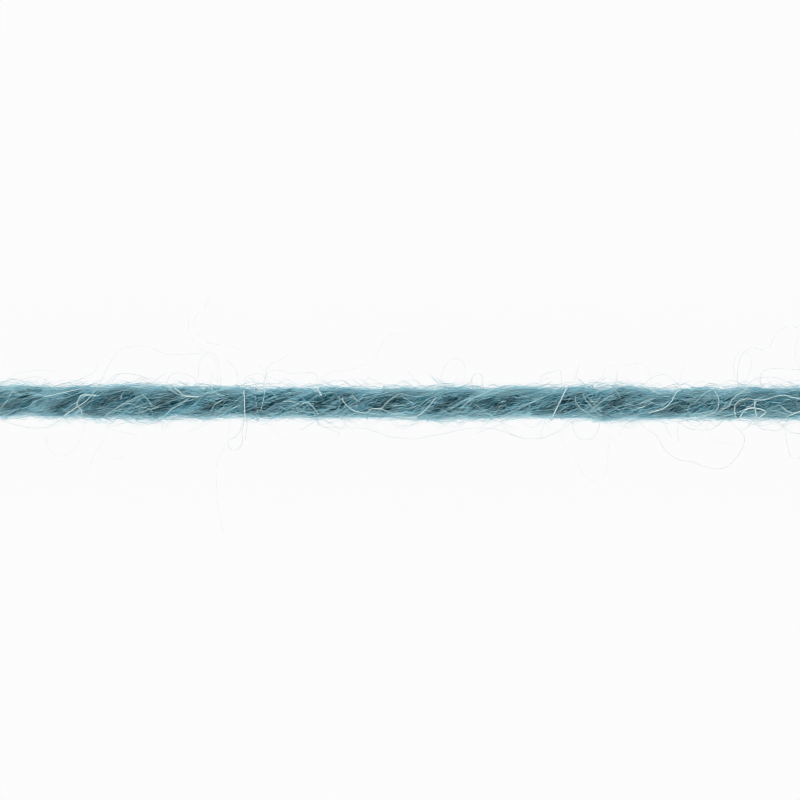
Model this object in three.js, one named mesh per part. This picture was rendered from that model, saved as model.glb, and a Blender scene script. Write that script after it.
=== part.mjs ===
// A cut length of three-ply woollen knitting yarn, lying straight on a flat surface.
// Millimetres. The yarn runs along X and +Z is up. The origin is on the surface,
// under the middle of the yarn. Seen from above, the plies climb towards +Y as
// they run towards +X, which is an S twist.
import * as THREE from "three";

// Driving dimensions
const yarnLength = 80;
const yarnRadius = 1.5; // out to the backs of the plies, with their near fuzz
const plyCount = 3;
const lobeRadius = 0.93; // of the round back of one ply
const plyGap = 0.38; // between the flanks of two plies
const settleDepth = 0.16; // how far a ply flattens where it touches the surface
const sectionSpacing = 0.72; // from one cross-section to the next along the yarn
const lobeSides = 10; // flat sides that make the round back of a ply

// How the uneven yarn changes along its length: the turns that its plies have
// made, its thickness as a share of the mean, and how far its middle strays
// towards +Y. The twist is tight where the turns climb fast.
const course = [
  { along: -40, turns: -0.4, thickness: 0.98, stray: 0.1 },
  { along: -32, turns: 0.17, thickness: 1.0, stray: 0.12 },
  { along: -28, turns: 0.5, thickness: 0.94, stray: 0.06 },
  { along: -24.5, turns: 0.83, thickness: 1.08, stray: 0.02 },
  { along: -20, turns: 1.16, thickness: 1.06, stray: 0.0 },
  { along: -15, turns: 1.5, thickness: 0.98, stray: 0.02 },
  { along: -10.5, turns: 1.83, thickness: 0.93, stray: -0.04 },
  { along: -6, turns: 2.17, thickness: 0.98, stray: -0.04 },
  { along: -1, turns: 2.5, thickness: 0.94, stray: -0.02 },
  { along: 4, turns: 2.82, thickness: 1.04, stray: -0.1 },
  { along: 9, turns: 3.18, thickness: 0.96, stray: 0.0 },
  { along: 14, turns: 3.51, thickness: 0.98, stray: 0.0 },
  { along: 18, turns: 3.85, thickness: 1.09, stray: -0.08 },
  { along: 22, turns: 4.07, thickness: 0.93, stray: -0.1 },
  { along: 28, turns: 4.48, thickness: 0.97, stray: -0.06 },
  { along: 34, turns: 4.92, thickness: 1.02, stray: -0.08 },
  { along: 40, turns: 5.36, thickness: 0.98, stray: -0.1 },
];

const columns = ["turns", "thickness", "stray"];
const courseCurve = new THREE.CubicInterpolant(
  course.map((row) => row.along),
  course.flatMap((row) => columns.map((column) => row[column])),
  columns.length,
);

function courseAt(along) {
  const [turns, thickness, stray] = courseCurve.evaluate(along);
  return { turns, thickness, stray };
}

// One ply's cross-section, with the yarn's middle at the origin and the ply's
// back towards +X: two flat flanks, half a gap inside the ply's share of the
// yarn, and a round back between them.
function plySection() {
  const halfAngle = Math.PI / plyCount;
  const innerCorner = plyGap / 2 / Math.sin(halfAngle);
  const lobeCentre = yarnRadius - lobeRadius;
  const toCorner = innerCorner - lobeCentre;
  const flank =
    -toCorner * Math.cos(halfAngle) +
    Math.sqrt(lobeRadius ** 2 - (toCorner * Math.sin(halfAngle)) ** 2);
  const shoulderX = innerCorner + flank * Math.cos(halfAngle);
  const shoulderY = flank * Math.sin(halfAngle);
  const shoulderAngle = Math.atan2(shoulderY, shoulderX - lobeCentre);

  const section = new THREE.Shape();
  section.moveTo(innerCorner, 0);
  section.lineTo(shoulderX, -shoulderY);
  section.absarc(lobeCentre, 0, lobeRadius, -shoulderAngle, shoulderAngle, false);
  section.closePath();
  return section;
}

// Lays a straight ply along the yarn's course: it turns round the middle, thickens
// and thins with the yarn, and is flat where it would go below the surface.
function layOnCourse(geometry, plyIndex) {
  const place = geometry.attributes.position;
  for (let i = 0; i < place.count; i += 1) {
    const outward = place.getX(i);
    const across = place.getY(i);
    const along = place.getZ(i) - yarnLength / 2;
    const { turns, thickness, stray } = courseAt(along);
    const angle = 2 * Math.PI * (turns + plyIndex / plyCount);
    const middleHeight = yarnRadius * thickness - settleDepth;
    const y = outward * Math.sin(angle) - across * Math.cos(angle);
    const z = outward * Math.cos(angle) + across * Math.sin(angle);
    place.setXYZ(
      i,
      along,
      stray + thickness * y,
      Math.max(0, middleHeight + thickness * z),
    );
  }
  geometry.computeVertexNormals();
  return geometry;
}

const dyedWool = new THREE.MeshStandardMaterial({
  color: 0x4f8091,
  roughness: 0.95,
  metalness: 0,
});

function makePly(plyIndex) {
  const geometry = new THREE.ExtrudeGeometry(plySection(), {
    depth: yarnLength,
    steps: Math.round(yarnLength / sectionSpacing),
    curveSegments: lobeSides / 2,
    bevelEnabled: false,
  });
  const ply = new THREE.Mesh(layOnCourse(geometry, plyIndex), dyedWool);
  ply.name = `ply_${plyIndex + 1}`;
  return ply;
}

const yarn = new THREE.Group();
for (let plyIndex = 0; plyIndex < plyCount; plyIndex += 1) {
  yarn.add(makePly(plyIndex));
}

export default yarn;
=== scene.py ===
"""Looks of a cut length of three-ply woollen knitting yarn on a pale light table:
the plies are laid hair by hair, with the fuzz and the stray hairs of the photograph."""

import math
from collections import namedtuple

import bpy
import numpy as np
from bpy.props import FloatProperty, FloatVectorProperty, IntProperty, PointerProperty
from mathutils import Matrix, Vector


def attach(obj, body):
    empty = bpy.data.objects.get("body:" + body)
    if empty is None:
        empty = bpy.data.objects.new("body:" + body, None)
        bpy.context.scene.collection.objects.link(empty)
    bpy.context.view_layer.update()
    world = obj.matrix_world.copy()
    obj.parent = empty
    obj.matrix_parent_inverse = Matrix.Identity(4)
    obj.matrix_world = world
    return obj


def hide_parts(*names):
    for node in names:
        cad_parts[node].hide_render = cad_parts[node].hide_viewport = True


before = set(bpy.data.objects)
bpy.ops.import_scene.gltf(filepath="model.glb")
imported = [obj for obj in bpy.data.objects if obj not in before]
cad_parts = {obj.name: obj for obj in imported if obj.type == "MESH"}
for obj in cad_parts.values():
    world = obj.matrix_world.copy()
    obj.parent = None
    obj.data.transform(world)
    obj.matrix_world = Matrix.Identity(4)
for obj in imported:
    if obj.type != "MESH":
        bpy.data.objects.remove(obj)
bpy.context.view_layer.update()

bl_info = {
    "name": "Woollen Knitting Yarn",
    "version": (1, 0, 0),
    "blender": (4, 5, 0),
    "location": "3D View > Sidebar > Yarn",
    "description": "Builds a hairy three-ply woollen yarn, hair by hair, with its stage",
    "category": "Add Mesh",
}

BODY = "root"
PLY_NODES = ["ply_1", "ply_2", "ply_3"]
PLIES = len(PLY_NODES)
MM = 0.001
FULL_TURN = 2 * math.pi

# The course of the yarn, as in the construction: place along it, turns of the
# plies so far, thickness as a share of the mean, and how far the middle strays
# towards +Y. Metres.
Station = namedtuple("Station", "along turns thickness stray")
COURSE = [
    Station(-0.0400, -0.40, 0.98, 0.00010),
    Station(-0.0320, 0.17, 1.00, 0.00012),
    Station(-0.0280, 0.50, 0.94, 0.00006),
    Station(-0.0245, 0.83, 1.08, 0.00002),
    Station(-0.0200, 1.16, 1.06, 0.00000),
    Station(-0.0150, 1.50, 0.98, 0.00002),
    Station(-0.0105, 1.83, 0.93, -0.00004),
    Station(-0.0060, 2.17, 0.98, -0.00004),
    Station(-0.0010, 2.50, 0.94, -0.00002),
    Station(0.0040, 2.82, 1.04, -0.00010),
    Station(0.0090, 3.18, 0.96, 0.00000),
    Station(0.0140, 3.51, 0.98, 0.00000),
    Station(0.0180, 3.85, 1.09, -0.00008),
    Station(0.0220, 4.07, 0.93, -0.00010),
    Station(0.0280, 4.48, 0.97, -0.00006),
    Station(0.0340, 4.92, 1.02, -0.00008),
    Station(0.0400, 5.36, 0.98, -0.00010),
]
HALF_LENGTH = COURSE[-1].along
YARN_RADIUS = 1.5 * MM
LOBE_RADIUS = 0.93 * MM  # of a ply's round back
LOBE_CENTRE = YARN_RADIUS - LOBE_RADIUS
SETTLE_DEPTH = 0.16 * MM  # how far a ply flattens on the surface
CLEAR_OF_SURFACE = 0.05 * MM  # the lowest place for the middle of a hair
BODY_SHARE = 0.72  # how much of a ply's round back is dense with hairs
# The rims are painted pale, as painted backlight from the table.
RIM = 1.2 * MM  # from the yarn's middle to its pale rims

# The photograph is square, 800 pixels wide, with 12 pixels to a millimetre. The
# yarn's middle lies along its pixel row 402.7.
PHOTO_WIDTH = 800
YARN_ROW = 402.7
PIXEL = MM / 12


def from_photo(pixels):
    """Places on the surface, in metres, of points of the photograph in pixels."""
    across, down = np.array(pixels, float).T
    return np.stack([(across - PHOTO_WIDTH / 2) * PIXEL, (YARN_ROW - down) * PIXEL], -1)


# Hollows of the photograph, where the hairs sink in and their tone is darkened as painted shade,
# and its ridges, whose tone is raised as a painted highlight: each with its half width in pixels,
# its strength as a share of the usual depth or paleness, and its points in pixels.
Streak = namedtuple("Streak", "half_width strength points")
HOLLOWS = [
    Streak(5.8, 0.7, [(-6, 402), (0, 398), (4, 398)]),
    Streak(4.4, 0.6, [(8, 407), (18, 404), (27, 400)]),
    Streak(5.8, 1.2, [(58, 408), (64, 407), (71, 405), (79, 401)]),
    Streak(5.0, 1.0, [(85, 405), (92, 400), (100, 394), (108, 391), (120, 389)]),
    Streak(4.4, 0.8, [(97, 411), (105, 410), (112, 408)]),
    Streak(4.4, 1.1, [(122, 398), (130, 396), (142, 391)]),
    Streak(5.0, 0.9, [(148, 399), (158, 400), (170, 396), (180, 393)]),
    Streak(5.0, 1.0, [(152, 412), (162, 410), (170, 405), (176, 401)]),
    Streak(4.4, 0.5, [(178, 404), (188, 403), (199, 402)]),
    Streak(5.0, 0.9, [(205, 408), (213, 404), (225, 402), (234, 401)]),
    Streak(5.0, 0.7, [(248, 400), (260, 394), (270, 391)]),
    Streak(5.0, 0.8, [(248, 408), (262, 404)]),
    Streak(5.0, 1.0, [(262, 412), (268, 408), (276, 403), (284, 399)]),
    Streak(4.4, 0.5, [(298, 400), (312, 398)]),
    Streak(5.0, 1.0, [(312, 405), (320, 402), (326, 398)]),
    Streak(6.6, 0.6, [(326, 394), (338, 393), (344, 400), (342, 406)]),
    Streak(4.4, 0.9, [(344, 401), (353, 401)]),
    Streak(4.4, 0.8, [(350, 398), (358, 394), (366, 391)]),
    Streak(4.4, 0.7, [(375, 405), (382, 401), (389, 397)]),
    Streak(5.0, 1.1, [(386, 409), (394, 403), (404, 402), (410, 404)]),
    Streak(5.0, 1.0, [(412, 399), (422, 399), (432, 397)]),
    Streak(5.0, 0.9, [(418, 406), (428, 402)]),
    Streak(5.0, 1.0, [(436, 409), (443, 406), (452, 401), (460, 396), (470, 391)]),
    Streak(5.0, 0.6, [(475, 405), (485, 401), (495, 397)]),
    Streak(5.0, 1.1, [(488, 402), (496, 404), (504, 400), (511, 397)]),
    Streak(5.0, 1.0, [(541, 409), (547, 405), (552, 400), (557, 395)]),
    Streak(5.0, 1.0, [(560, 409), (570, 408), (577, 407)]),
    Streak(5.0, 1.1, [(563, 398), (570, 400), (580, 402), (590, 402)]),
    Streak(5.4, 1.1, [(584, 399), (590, 397), (598, 394), (605, 392)]),
    Streak(5.0, 1.2, [(605, 407), (614, 403), (620, 398)]),
    Streak(5.0, 0.5, [(622, 394), (636, 394)]),
    Streak(5.0, 0.9, [(622, 407), (636, 407)]),
    Streak(4.4, 0.5, [(645, 407), (655, 404)]),
    Streak(5.0, 0.9, [(656, 400), (665, 396), (670, 392)]),
    Streak(5.8, 1.1, [(666, 410), (676, 407), (685, 403)]),
    Streak(4.4, 0.9, [(692, 409), (703, 405), (713, 402)]),
    Streak(4.4, 0.5, [(694, 402), (702, 399)]),
    Streak(4.4, 0.5, [(722, 400), (730, 398)]),
    Streak(4.4, 0.5, [(722, 409), (730, 408)]),
    Streak(5.0, 1.0, [(737, 408), (745, 405), (751, 401)]),
    Streak(3.6, 0.4, [(754, 404), (761, 406)]),
    Streak(4.4, 0.8, [(764, 399), (774, 397), (784, 396)]),
    Streak(5.0, 0.4, [(766, 404), (774, 402)]),
    Streak(5.4, 1.0, [(784, 396), (798, 393), (810, 390)]),
]
HIGHLIGHT_RIDGES = [
    Streak(4.5, 0.7, [(-4, 411), (14, 410), (30, 411), (56, 412)]),
    Streak(5.0, 0.9, [(14, 402), (24, 397), (34, 393)]),
    Streak(5.5, 0.9, [(32, 405), (46, 398), (56, 392), (66, 388)]),
    Streak(5.0, 1.1, [(56, 401), (70, 395), (80, 391), (88, 387)]),
    Streak(4.5, 0.9, [(80, 413), (92, 410)]),
    Streak(4.0, 0.5, [(128, 406), (138, 401), (148, 396), (154, 391)]),
    Streak(4.0, 0.8, [(182, 389), (190, 392), (199, 395)]),
    Streak(5.0, 0.9, [(186, 412), (198, 409), (206, 404)]),
    Streak(5.0, 0.9, [(202, 395), (214, 394), (230, 394), (244, 392)]),
    Streak(4.0, 0.4, [(274, 411), (284, 405), (296, 405)]),
    Streak(3.5, 0.5, [(290, 392), (312, 393)]),
    Streak(4.0, 0.4, [(318, 413), (334, 413)]),
    Streak(5.0, 0.3, [(354, 396), (362, 402), (370, 408)]),
    Streak(4.0, 0.4, [(402, 394), (412, 392), (424, 392)]),
    Streak(3.5, 0.6, [(424, 413), (430, 407), (436, 401), (442, 397)]),
    Streak(4.0, 0.6, [(465, 402), (474, 396), (482, 392)]),
    Streak(4.0, 0.5, [(513, 409), (524, 404), (534, 400)]),
    Streak(5.0, 1.2, [(512, 391), (530, 392), (546, 393)]),
    Streak(3.5, 0.7, [(572, 393), (582, 390)]),
    Streak(4.0, 0.6, [(583, 413), (592, 409), (601, 412)]),
    Streak(5.0, 1.1, [(628, 391), (640, 393), (652, 396)]),
    Streak(3.5, 0.3, [(633, 403), (645, 400)]),
    Streak(4.0, 0.5, [(703, 396), (716, 391)]),
    Streak(3.5, 0.4, [(724, 405), (733, 398)]),
    Streak(3.5, 0.6, [(751, 412), (765, 413)]),
    Streak(4.5, 1.0, [(738, 394), (751, 392), (764, 391)]),
    Streak(5.0, 0.9, [(778, 414), (792, 409), (806, 404)]),
]

# Notable hairs of the photograph that lie over the yarn, each with its thickness in
# millimetres, its tone from 0 for dark to 1 for pale, and its points in pixels.
Hair = namedtuple("Hair", "thickness tone points")
HAIRS_ON_THE_BODY = [
    Hair(0.078, 1.00, [(64, 416), (76, 408), (88, 400), (96, 390), (101, 383)]),
    Hair(0.095, 1.00, [(98, 396), (88, 395), (82, 396), (78, 404), (82, 410), (83, 415)]),
    Hair(0.068, 0.93, [(2, 408), (9, 399), (15, 387)]),
    Hair(0.075, 0.98, [(43, 397), (57, 394), (71, 391), (87, 387)]),
    Hair(0.058, 0.93, [(106, 416), (122, 405), (144, 394)]),
    Hair(0.058, 0.93, [(161, 419), (173, 409), (189, 399)]),
    Hair(0.052, 0.88, [(136, 406), (150, 409), (154, 416)]),
    Hair(0.090, 1.00, [(172, 385), (179, 391), (186, 396), (200, 397)]),
    Hair(0.058, 0.88, [(210, 413), (215, 405), (224, 399)]),
    Hair(0.104, 1.00, [(244, 390), (245, 400), (245, 411), (247, 422)]),
    Hair(0.065, 0.93, [(265, 391), (264, 399), (261, 411)]),
    Hair(0.065, 0.93, [(282, 402), (289, 401), (301, 404), (308, 402), (315, 409), (319, 415)]),
    Hair(0.130, 1.00, [(317, 388), (322, 396)]),
    Hair(0.072, 0.98, [(342, 396), (344, 402), (353, 410), (366, 413), (371, 409), (382, 409)]),
    Hair(0.065, 0.93, [(376, 408), (382, 409), (391, 413), (400, 413)]),
    Hair(0.058, 0.93, [(352, 395), (357, 401), (356, 409)]),
    Hair(0.058, 0.93, [(381, 409), (385, 404), (391, 399), (399, 394)]),
    Hair(0.064, 0.88, [(400, 395), (408, 400), (414, 405)]),
    Hair(0.085, 0.95, [(413, 418), (424, 411), (433, 401), (437, 397)]),
    Hair(0.065, 0.93, [(456, 416), (464, 405), (476, 397), (497, 387)]),
    Hair(0.058, 0.88, [(474, 404), (483, 410), (494, 418)]),
    Hair(0.055, 0.93, [(502, 416), (515, 410), (528, 404), (545, 396)]),
    Hair(0.104, 1.00, [(567, 387), (562, 397), (556, 409), (552, 418)]),
    Hair(0.066, 0.93, [(575, 396), (575, 401), (580, 408), (589, 414), (596, 419)]),
    Hair(0.058, 0.93, [(582, 394), (586, 401), (594, 410), (600, 416)]),
    Hair(0.085, 1.00, [(682, 385), (675, 394), (671, 401), (664, 408), (656, 411), (647, 413)]),
    Hair(0.080, 0.98, [(660, 395), (651, 390), (642, 387)]),
    Hair(0.072, 0.98, [(713, 390), (717, 396), (718, 404), (715, 411), (710, 414), (700, 416)]),
    Hair(0.066, 0.93, [(710, 390), (702, 395), (693, 404)]),
    Hair(0.072, 0.98, [(749, 387), (738, 394), (731, 400), (728, 406), (719, 411)]),
    Hair(0.125, 1.00, [(739, 418), (743, 411), (750, 408), (759, 409), (765, 412), (758, 418)]),
    Hair(0.120, 1.00, [(754, 400), (754, 408), (756, 416)]),
    Hair(0.072, 0.98, [(735, 419), (734, 406), (740, 400), (749, 399), (761, 400), (772, 397)]),
    Hair(0.072, 0.98, [(766, 399), (772, 397), (782, 395), (791, 397), (800, 399)]),
    Hair(0.085, 0.97, [(777, 423), (788, 416), (804, 409)]),
    Hair(0.066, 0.90, [(121, 400), (123, 394), (127, 389)]),
    Hair(0.066, 0.90, [(142, 393), (148, 399), (153, 406)]),
    Hair(0.055, 0.85, [(136, 414), (148, 410), (160, 407)]),
    Hair(0.060, 0.95, [(164, 384), (173, 391), (181, 395), (192, 396)]),
    Hair(0.055, 0.85, [(211, 388), (218, 394), (226, 396)]),
    Hair(0.055, 0.85, [(222, 413), (231, 409), (241, 405)]),
    Hair(0.050, 0.85, [(270, 391), (275, 395), (278, 400)]),
    Hair(0.050, 0.85, [(400, 393), (412, 396), (424, 396), (437, 392)]),
    Hair(0.042, 0.85, [(388, 406), (400, 405), (414, 402)]),
    Hair(0.046, 0.85, [(437, 414), (450, 409), (462, 402), (474, 395)]),
    Hair(0.055, 0.85, [(476, 402), (488, 395), (502, 391)]),
    Hair(0.055, 0.90, [(586, 396), (594, 404), (601, 412)]),
    Hair(0.055, 0.90, [(590, 410), (599, 403), (607, 397), (614, 394)]),
    Hair(0.055, 0.90, [(611, 386), (616, 392), (620, 398)]),
    Hair(0.052, 0.95, [(635, 409), (642, 407), (646, 402), (654, 398)]),
    Hair(0.050, 0.90, [(690, 404), (687, 410), (691, 418)]),
    Hair(0.055, 0.85, [(688, 414), (700, 413), (712, 410)]),
    Hair(0.075, 0.90, [(779, 405), (785, 410), (791, 413)]),
]
# Hairs that leave the yarn, with points as above. Their height over the surface,
# in millimetres, goes from the first number to the second.
FLYAWAY_TONE = 0.88
Flyaway = namedtuple("Flyaway", "thickness heights points")
FLYAWAYS = [
    Flyaway(0.018, (2.6, 2.2), [
        (98, 388), (101, 382), (106, 372), (112, 360), (118, 353), (126, 348), (140, 346),
        (150, 347), (162, 353), (172, 355), (188, 354), (205, 353),
    ]),
    Flyaway(0.016, (2.2, 2.0), [
        (198, 382), (199, 370), (201, 360), (207, 353), (214, 354), (218, 361), (220, 371),
        (221, 384),
    ]),
    Flyaway(0.013, (2.2, 3.2), [
        (270, 380), (262, 368), (251, 358), (245, 354), (238, 348), (226, 345), (213, 344),
        (203, 340), (197, 331), (194, 324), (197, 316), (205, 307), (210, 300), (208, 293),
    ]),
    Flyaway(0.013, (2.8, 2.2), [
        (189, 318), (189, 328), (192, 338), (198, 346), (206, 352), (216, 362), (218, 384),
    ]),
    Flyaway(0.018, (2.2, 2.4), [
        (238, 388), (238, 376), (234, 367), (227, 360),
    ]),
    Flyaway(0.022, (2.0, 1.8), [
        (270, 384), (262, 375), (253, 374), (246, 378), (243, 386),
    ]),
    Flyaway(0.024, (2.0, 1.8), [
        (166, 386), (170, 376), (176, 373), (185, 374), (194, 378), (198, 386),
    ]),
    Flyaway(0.031, (2.0, 1.8), [
        (14, 386), (22, 380), (32, 377), (42, 378), (54, 386),
    ]),
    Flyaway(0.018, (2.0, 2.0), [
        (4, 384), (12, 376), (26, 372), (44, 370), (54, 372),
    ]),
    Flyaway(0.022, (2.0, 2.2), [
        (68, 387), (80, 380), (90, 375), (96, 370), (98, 361),
    ]),
    Flyaway(0.032, (1.8, 1.8), [
        (106, 384), (116, 375), (132, 374), (146, 378), (157, 386),
    ]),
    Flyaway(0.022, (1.8, 2.4), [
        (258, 396), (264, 384), (266, 376), (267, 369), (272, 364), (280, 360), (290, 354),
    ]),
    Flyaway(0.020, (2.0, 2.2), [
        (262, 386), (268, 373), (278, 370), (288, 373), (303, 373), (313, 373), (318, 379),
        (312, 389),
    ]),
    Flyaway(0.011, (2.2, 3.0), [
        (316, 386), (322, 377), (334, 372), (350, 370), (362, 366), (371, 362), (377, 355),
        (381, 346), (386, 338), (393, 334), (401, 334), (408, 337),
    ]),
    Flyaway(0.015, (1.8, 1.8), [
        (440, 390), (441, 380), (444, 368), (451, 360), (459, 359), (464, 364), (465, 374),
        (462, 388),
    ]),
    Flyaway(0.035, (1.8, 1.8), [
        (474, 394), (472, 384), (472, 378), (476, 374), (481, 375), (483, 381), (481, 392),
    ]),
    Flyaway(0.024, (2.0, 2.0), [
        (561, 390), (561, 377), (559, 370), (552, 372), (545, 374), (541, 377), (541, 386),
    ]),
    Flyaway(0.011, (2.0, 2.0), [
        (601, 386), (604, 371), (610, 365), (620, 367), (632, 364), (641, 364), (648, 370),
        (652, 386),
    ]),
    Flyaway(0.036, (2.0, 2.0), [
        (611, 390), (616, 381), (617, 371),
    ]),
    Flyaway(0.027, (1.8, 1.8), [
        (640, 388), (650, 379), (659, 375), (668, 376), (680, 386),
    ]),
    Flyaway(0.012, (1.8, 2.2), [
        (679, 388), (681, 374), (684, 361),
    ]),
    Flyaway(0.024, (2.0, 3.0), [
        (739, 392), (737, 376), (738, 364), (741, 356), (746, 350), (753, 348), (762, 350),
        (768, 348), (773, 338), (780, 330), (788, 326), (796, 328), (804, 333),
    ]),
    Flyaway(0.014, (2.0, 2.2), [
        (743, 388), (748, 376), (751, 366), (750, 357), (744, 351), (738, 353), (734, 360),
        (733, 370), (736, 380), (742, 390),
    ]),
    Flyaway(0.025, (2.0, 2.0), [
        (762, 392), (760, 381), (762, 372), (769, 369), (785, 369), (806, 370),
    ]),
    Flyaway(0.015, (2.4, 2.0), [
        (808, 330), (798, 337), (795, 348), (796, 360), (802, 371),
    ]),
    Flyaway(0.031, (1.8, 1.8), [
        (744, 388), (755, 379), (768, 377), (781, 379), (796, 387),
    ]),
    Flyaway(0.036, (1.2, 1.5), [
        (0, 420), (17, 425), (32, 428), (48, 427), (57, 422), (70, 412),
    ]),
    Flyaway(0.014, (1.0, 0.5), [
        (86, 412), (84, 424), (82, 435), (76, 445), (71, 452), (63, 456), (54, 455), (47, 447),
        (45, 433),
    ]),
    Flyaway(0.014, (1.0, 0.4), [
        (104, 412), (107, 427), (105, 437), (99, 446), (94, 454), (90, 464), (88, 474),
    ]),
    Flyaway(0.011, (0.8, 0.4), [
        (99, 446), (104, 455), (112, 459), (126, 457),
    ]),
    Flyaway(0.029, (1.0, 1.2), [
        (84, 408), (94, 419), (108, 423), (120, 424), (132, 421), (146, 423), (158, 423),
        (168, 412),
    ]),
    Flyaway(0.012, (1.0, 0.8), [
        (104, 420), (112, 429), (122, 432), (131, 434), (137, 436), (132, 440),
    ]),
    Flyaway(0.036, (1.0, 0.8), [
        (156, 414), (161, 423), (163, 431),
    ]),
    Flyaway(0.032, (1.6, 0.8), [
        (246, 412), (243, 422), (240, 431), (235, 437), (229, 440), (228, 445), (232, 450),
        (238, 449), (242, 442), (242, 431), (246, 416),
    ]),
    Flyaway(0.029, (1.4, 0.8), [
        (249, 412), (247, 426), (245, 440),
    ]),
    Flyaway(0.012, (0.8, 0.3), [
        (232, 412), (228, 434), (223, 450), (217, 461), (216, 480), (218, 510), (223, 534),
    ]),
    Flyaway(0.012, (1.0, 0.6), [
        (260, 414), (269, 425), (278, 434), (288, 441),
    ]),
    Flyaway(0.032, (1.2, 0.8), [
        (310, 414), (322, 425), (331, 430), (339, 433), (337, 437),
    ]),
    Flyaway(0.034, (1.2, 1.0), [
        (314, 416), (322, 427), (333, 427), (342, 429), (346, 420),
    ]),
    Flyaway(0.031, (1.2, 1.0), [
        (318, 412), (330, 424), (345, 428), (362, 428), (374, 431), (386, 436), (400, 438),
        (415, 439), (430, 436), (447, 433), (464, 429), (483, 428), (499, 430), (515, 436),
        (528, 439), (542, 438), (553, 434), (566, 427), (580, 414),
    ]),
    Flyaway(0.025, (1.2, 1.0), [
        (386, 412), (393, 423), (401, 428), (411, 426), (420, 420), (426, 412),
    ]),
    Flyaway(0.026, (1.2, 1.0), [
        (499, 414), (503, 425), (508, 432), (516, 436),
    ]),
    Flyaway(0.028, (1.2, 0.8), [
        (546, 412), (544, 426), (541, 436), (544, 442),
    ]),
    Flyaway(0.024, (1.0, 1.0), [
        (571, 414), (574, 430), (579, 438), (587, 440), (595, 436), (599, 428), (602, 414),
    ]),
    Flyaway(0.011, (1.0, 0.5), [
        (554, 424), (566, 446), (577, 461), (585, 476), (597, 482), (606, 473), (608, 455),
        (610, 436), (611, 416),
    ]),
    Flyaway(0.029, (1.0, 0.5), [
        (634, 410), (643, 426), (655, 434), (661, 443), (667, 452), (680, 460), (693, 462),
        (706, 467), (720, 469), (731, 464), (739, 455), (744, 446), (745, 437), (740, 430),
        (733, 424), (728, 412),
    ]),
    Flyaway(0.025, (1.2, 0.8), [
        (658, 412), (666, 427), (672, 437),
    ]),
    Flyaway(0.025, (1.2, 0.8), [
        (681, 412), (678, 428), (679, 442),
    ]),
    Flyaway(0.034, (1.2, 1.2), [
        (672, 414), (686, 427), (700, 430), (714, 428), (730, 416),
    ]),
    Flyaway(0.014, (1.0, 0.8), [
        (702, 416), (711, 437), (722, 443), (738, 444),
    ]),
    Flyaway(0.036, (1.2, 1.2), [
        (748, 412), (759, 427), (770, 430), (781, 429), (794, 412),
    ]),
    Flyaway(0.022, (1.0, 0.6), [
        (781, 412), (786, 434), (788, 446), (792, 457), (798, 458), (806, 455),
    ]),
    Flyaway(0.032, (1.2, 1.0), [
        (772, 414), (784, 427), (794, 433), (806, 433),
    ]),
]


# Shapes of the yarn


def course_at(along):
    """Turns, thickness and stray at each place along the yarn."""
    knots = np.array([s.along for s in COURSE])
    values = np.array([s[1:] for s in COURSE])
    slopes = np.diff(values, axis=0) / np.diff(knots)[:, None]
    tangents = np.concatenate([slopes[:1], (slopes[1:] + slopes[:-1]) / 2, slopes[-1:]])
    along = np.asarray(along)
    i = np.clip(np.searchsorted(knots, along) - 1, 0, len(knots) - 2)
    step = knots[i + 1] - knots[i]
    p = ((along - knots[i]) / step)[..., None]
    step = step[..., None]
    found = (
        (2 * p**3 - 3 * p**2 + 1) * values[i]
        + (p**3 - 2 * p**2 + p) * step * tangents[i]
        + (3 * p**2 - 2 * p**3) * values[i + 1]
        + (p**3 - p**2) * step * tangents[i + 1]
    )
    return found[..., 0], found[..., 1], found[..., 2]


def middle_of_yarn(along):
    """Height of the yarn's middle over the surface."""
    return YARN_RADIUS * course_at(along)[1] - SETTLE_DEPTH


def lobe_middle(ply, along):
    """The y and z of a ply's middle, the yarn's thickness there and the way that
    the ply's back faces, in radians from +Z towards +Y."""
    turns, thickness, stray = course_at(along)
    back = FULL_TURN * (turns + ply / PLIES)
    y = stray + thickness * LOBE_CENTRE * np.sin(back)
    z = YARN_RADIUS * thickness - SETTLE_DEPTH + thickness * LOBE_CENTRE * np.cos(back)
    return y, z, thickness, back


def on_ply(ply, along, turn, depth):
    """Points on a ply: turn is the angle round the ply's middle from its back, in
    radians, and depth the distance from the ply's middle."""
    y, z, thickness, back = lobe_middle(ply, along)
    y = y + thickness * depth * np.sin(back + turn)
    z = z + thickness * depth * np.cos(back + turn)
    z = np.maximum(z, CLEAR_OF_SURFACE)
    return np.stack([along * np.ones_like(y), y, z], axis=-1)


def away_from_yarn(points):
    """How far points are from the yarn's plies, and the way out from there."""
    best = np.full(points.shape[:-1], np.inf)
    out = np.zeros_like(points)
    along = np.clip(points[..., 0], -HALF_LENGTH, HALF_LENGTH)
    for ply in range(PLIES):
        y, z, thickness, _ = lobe_middle(ply, along)
        offset = np.stack([0 * y, points[..., 1] - y, points[..., 2] - z], -1)
        reach = np.linalg.norm(offset, axis=-1) + 1e-9
        distance = reach - BODY_SHARE * LOBE_RADIUS * thickness
        nearer = distance < best
        best = np.where(nearer, distance, best)
        out = np.where(nearer[..., None], offset / reach[..., None], out)
    return best, out


def top_of_yarn(x, y):
    """Height of the yarn's upper side over a place on the surface, or 0 beside it."""
    height = np.zeros(np.shape(x))
    for ply in range(PLIES):
        lobe_y, lobe_z, thickness, _ = lobe_middle(ply, x)
        inside = (thickness * BODY_SHARE * LOBE_RADIUS) ** 2 - (y - lobe_y) ** 2
        over = lobe_z + np.sqrt(np.maximum(inside, 0))
        height = np.where(inside > 0, np.maximum(height, over), height)
    return height


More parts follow.
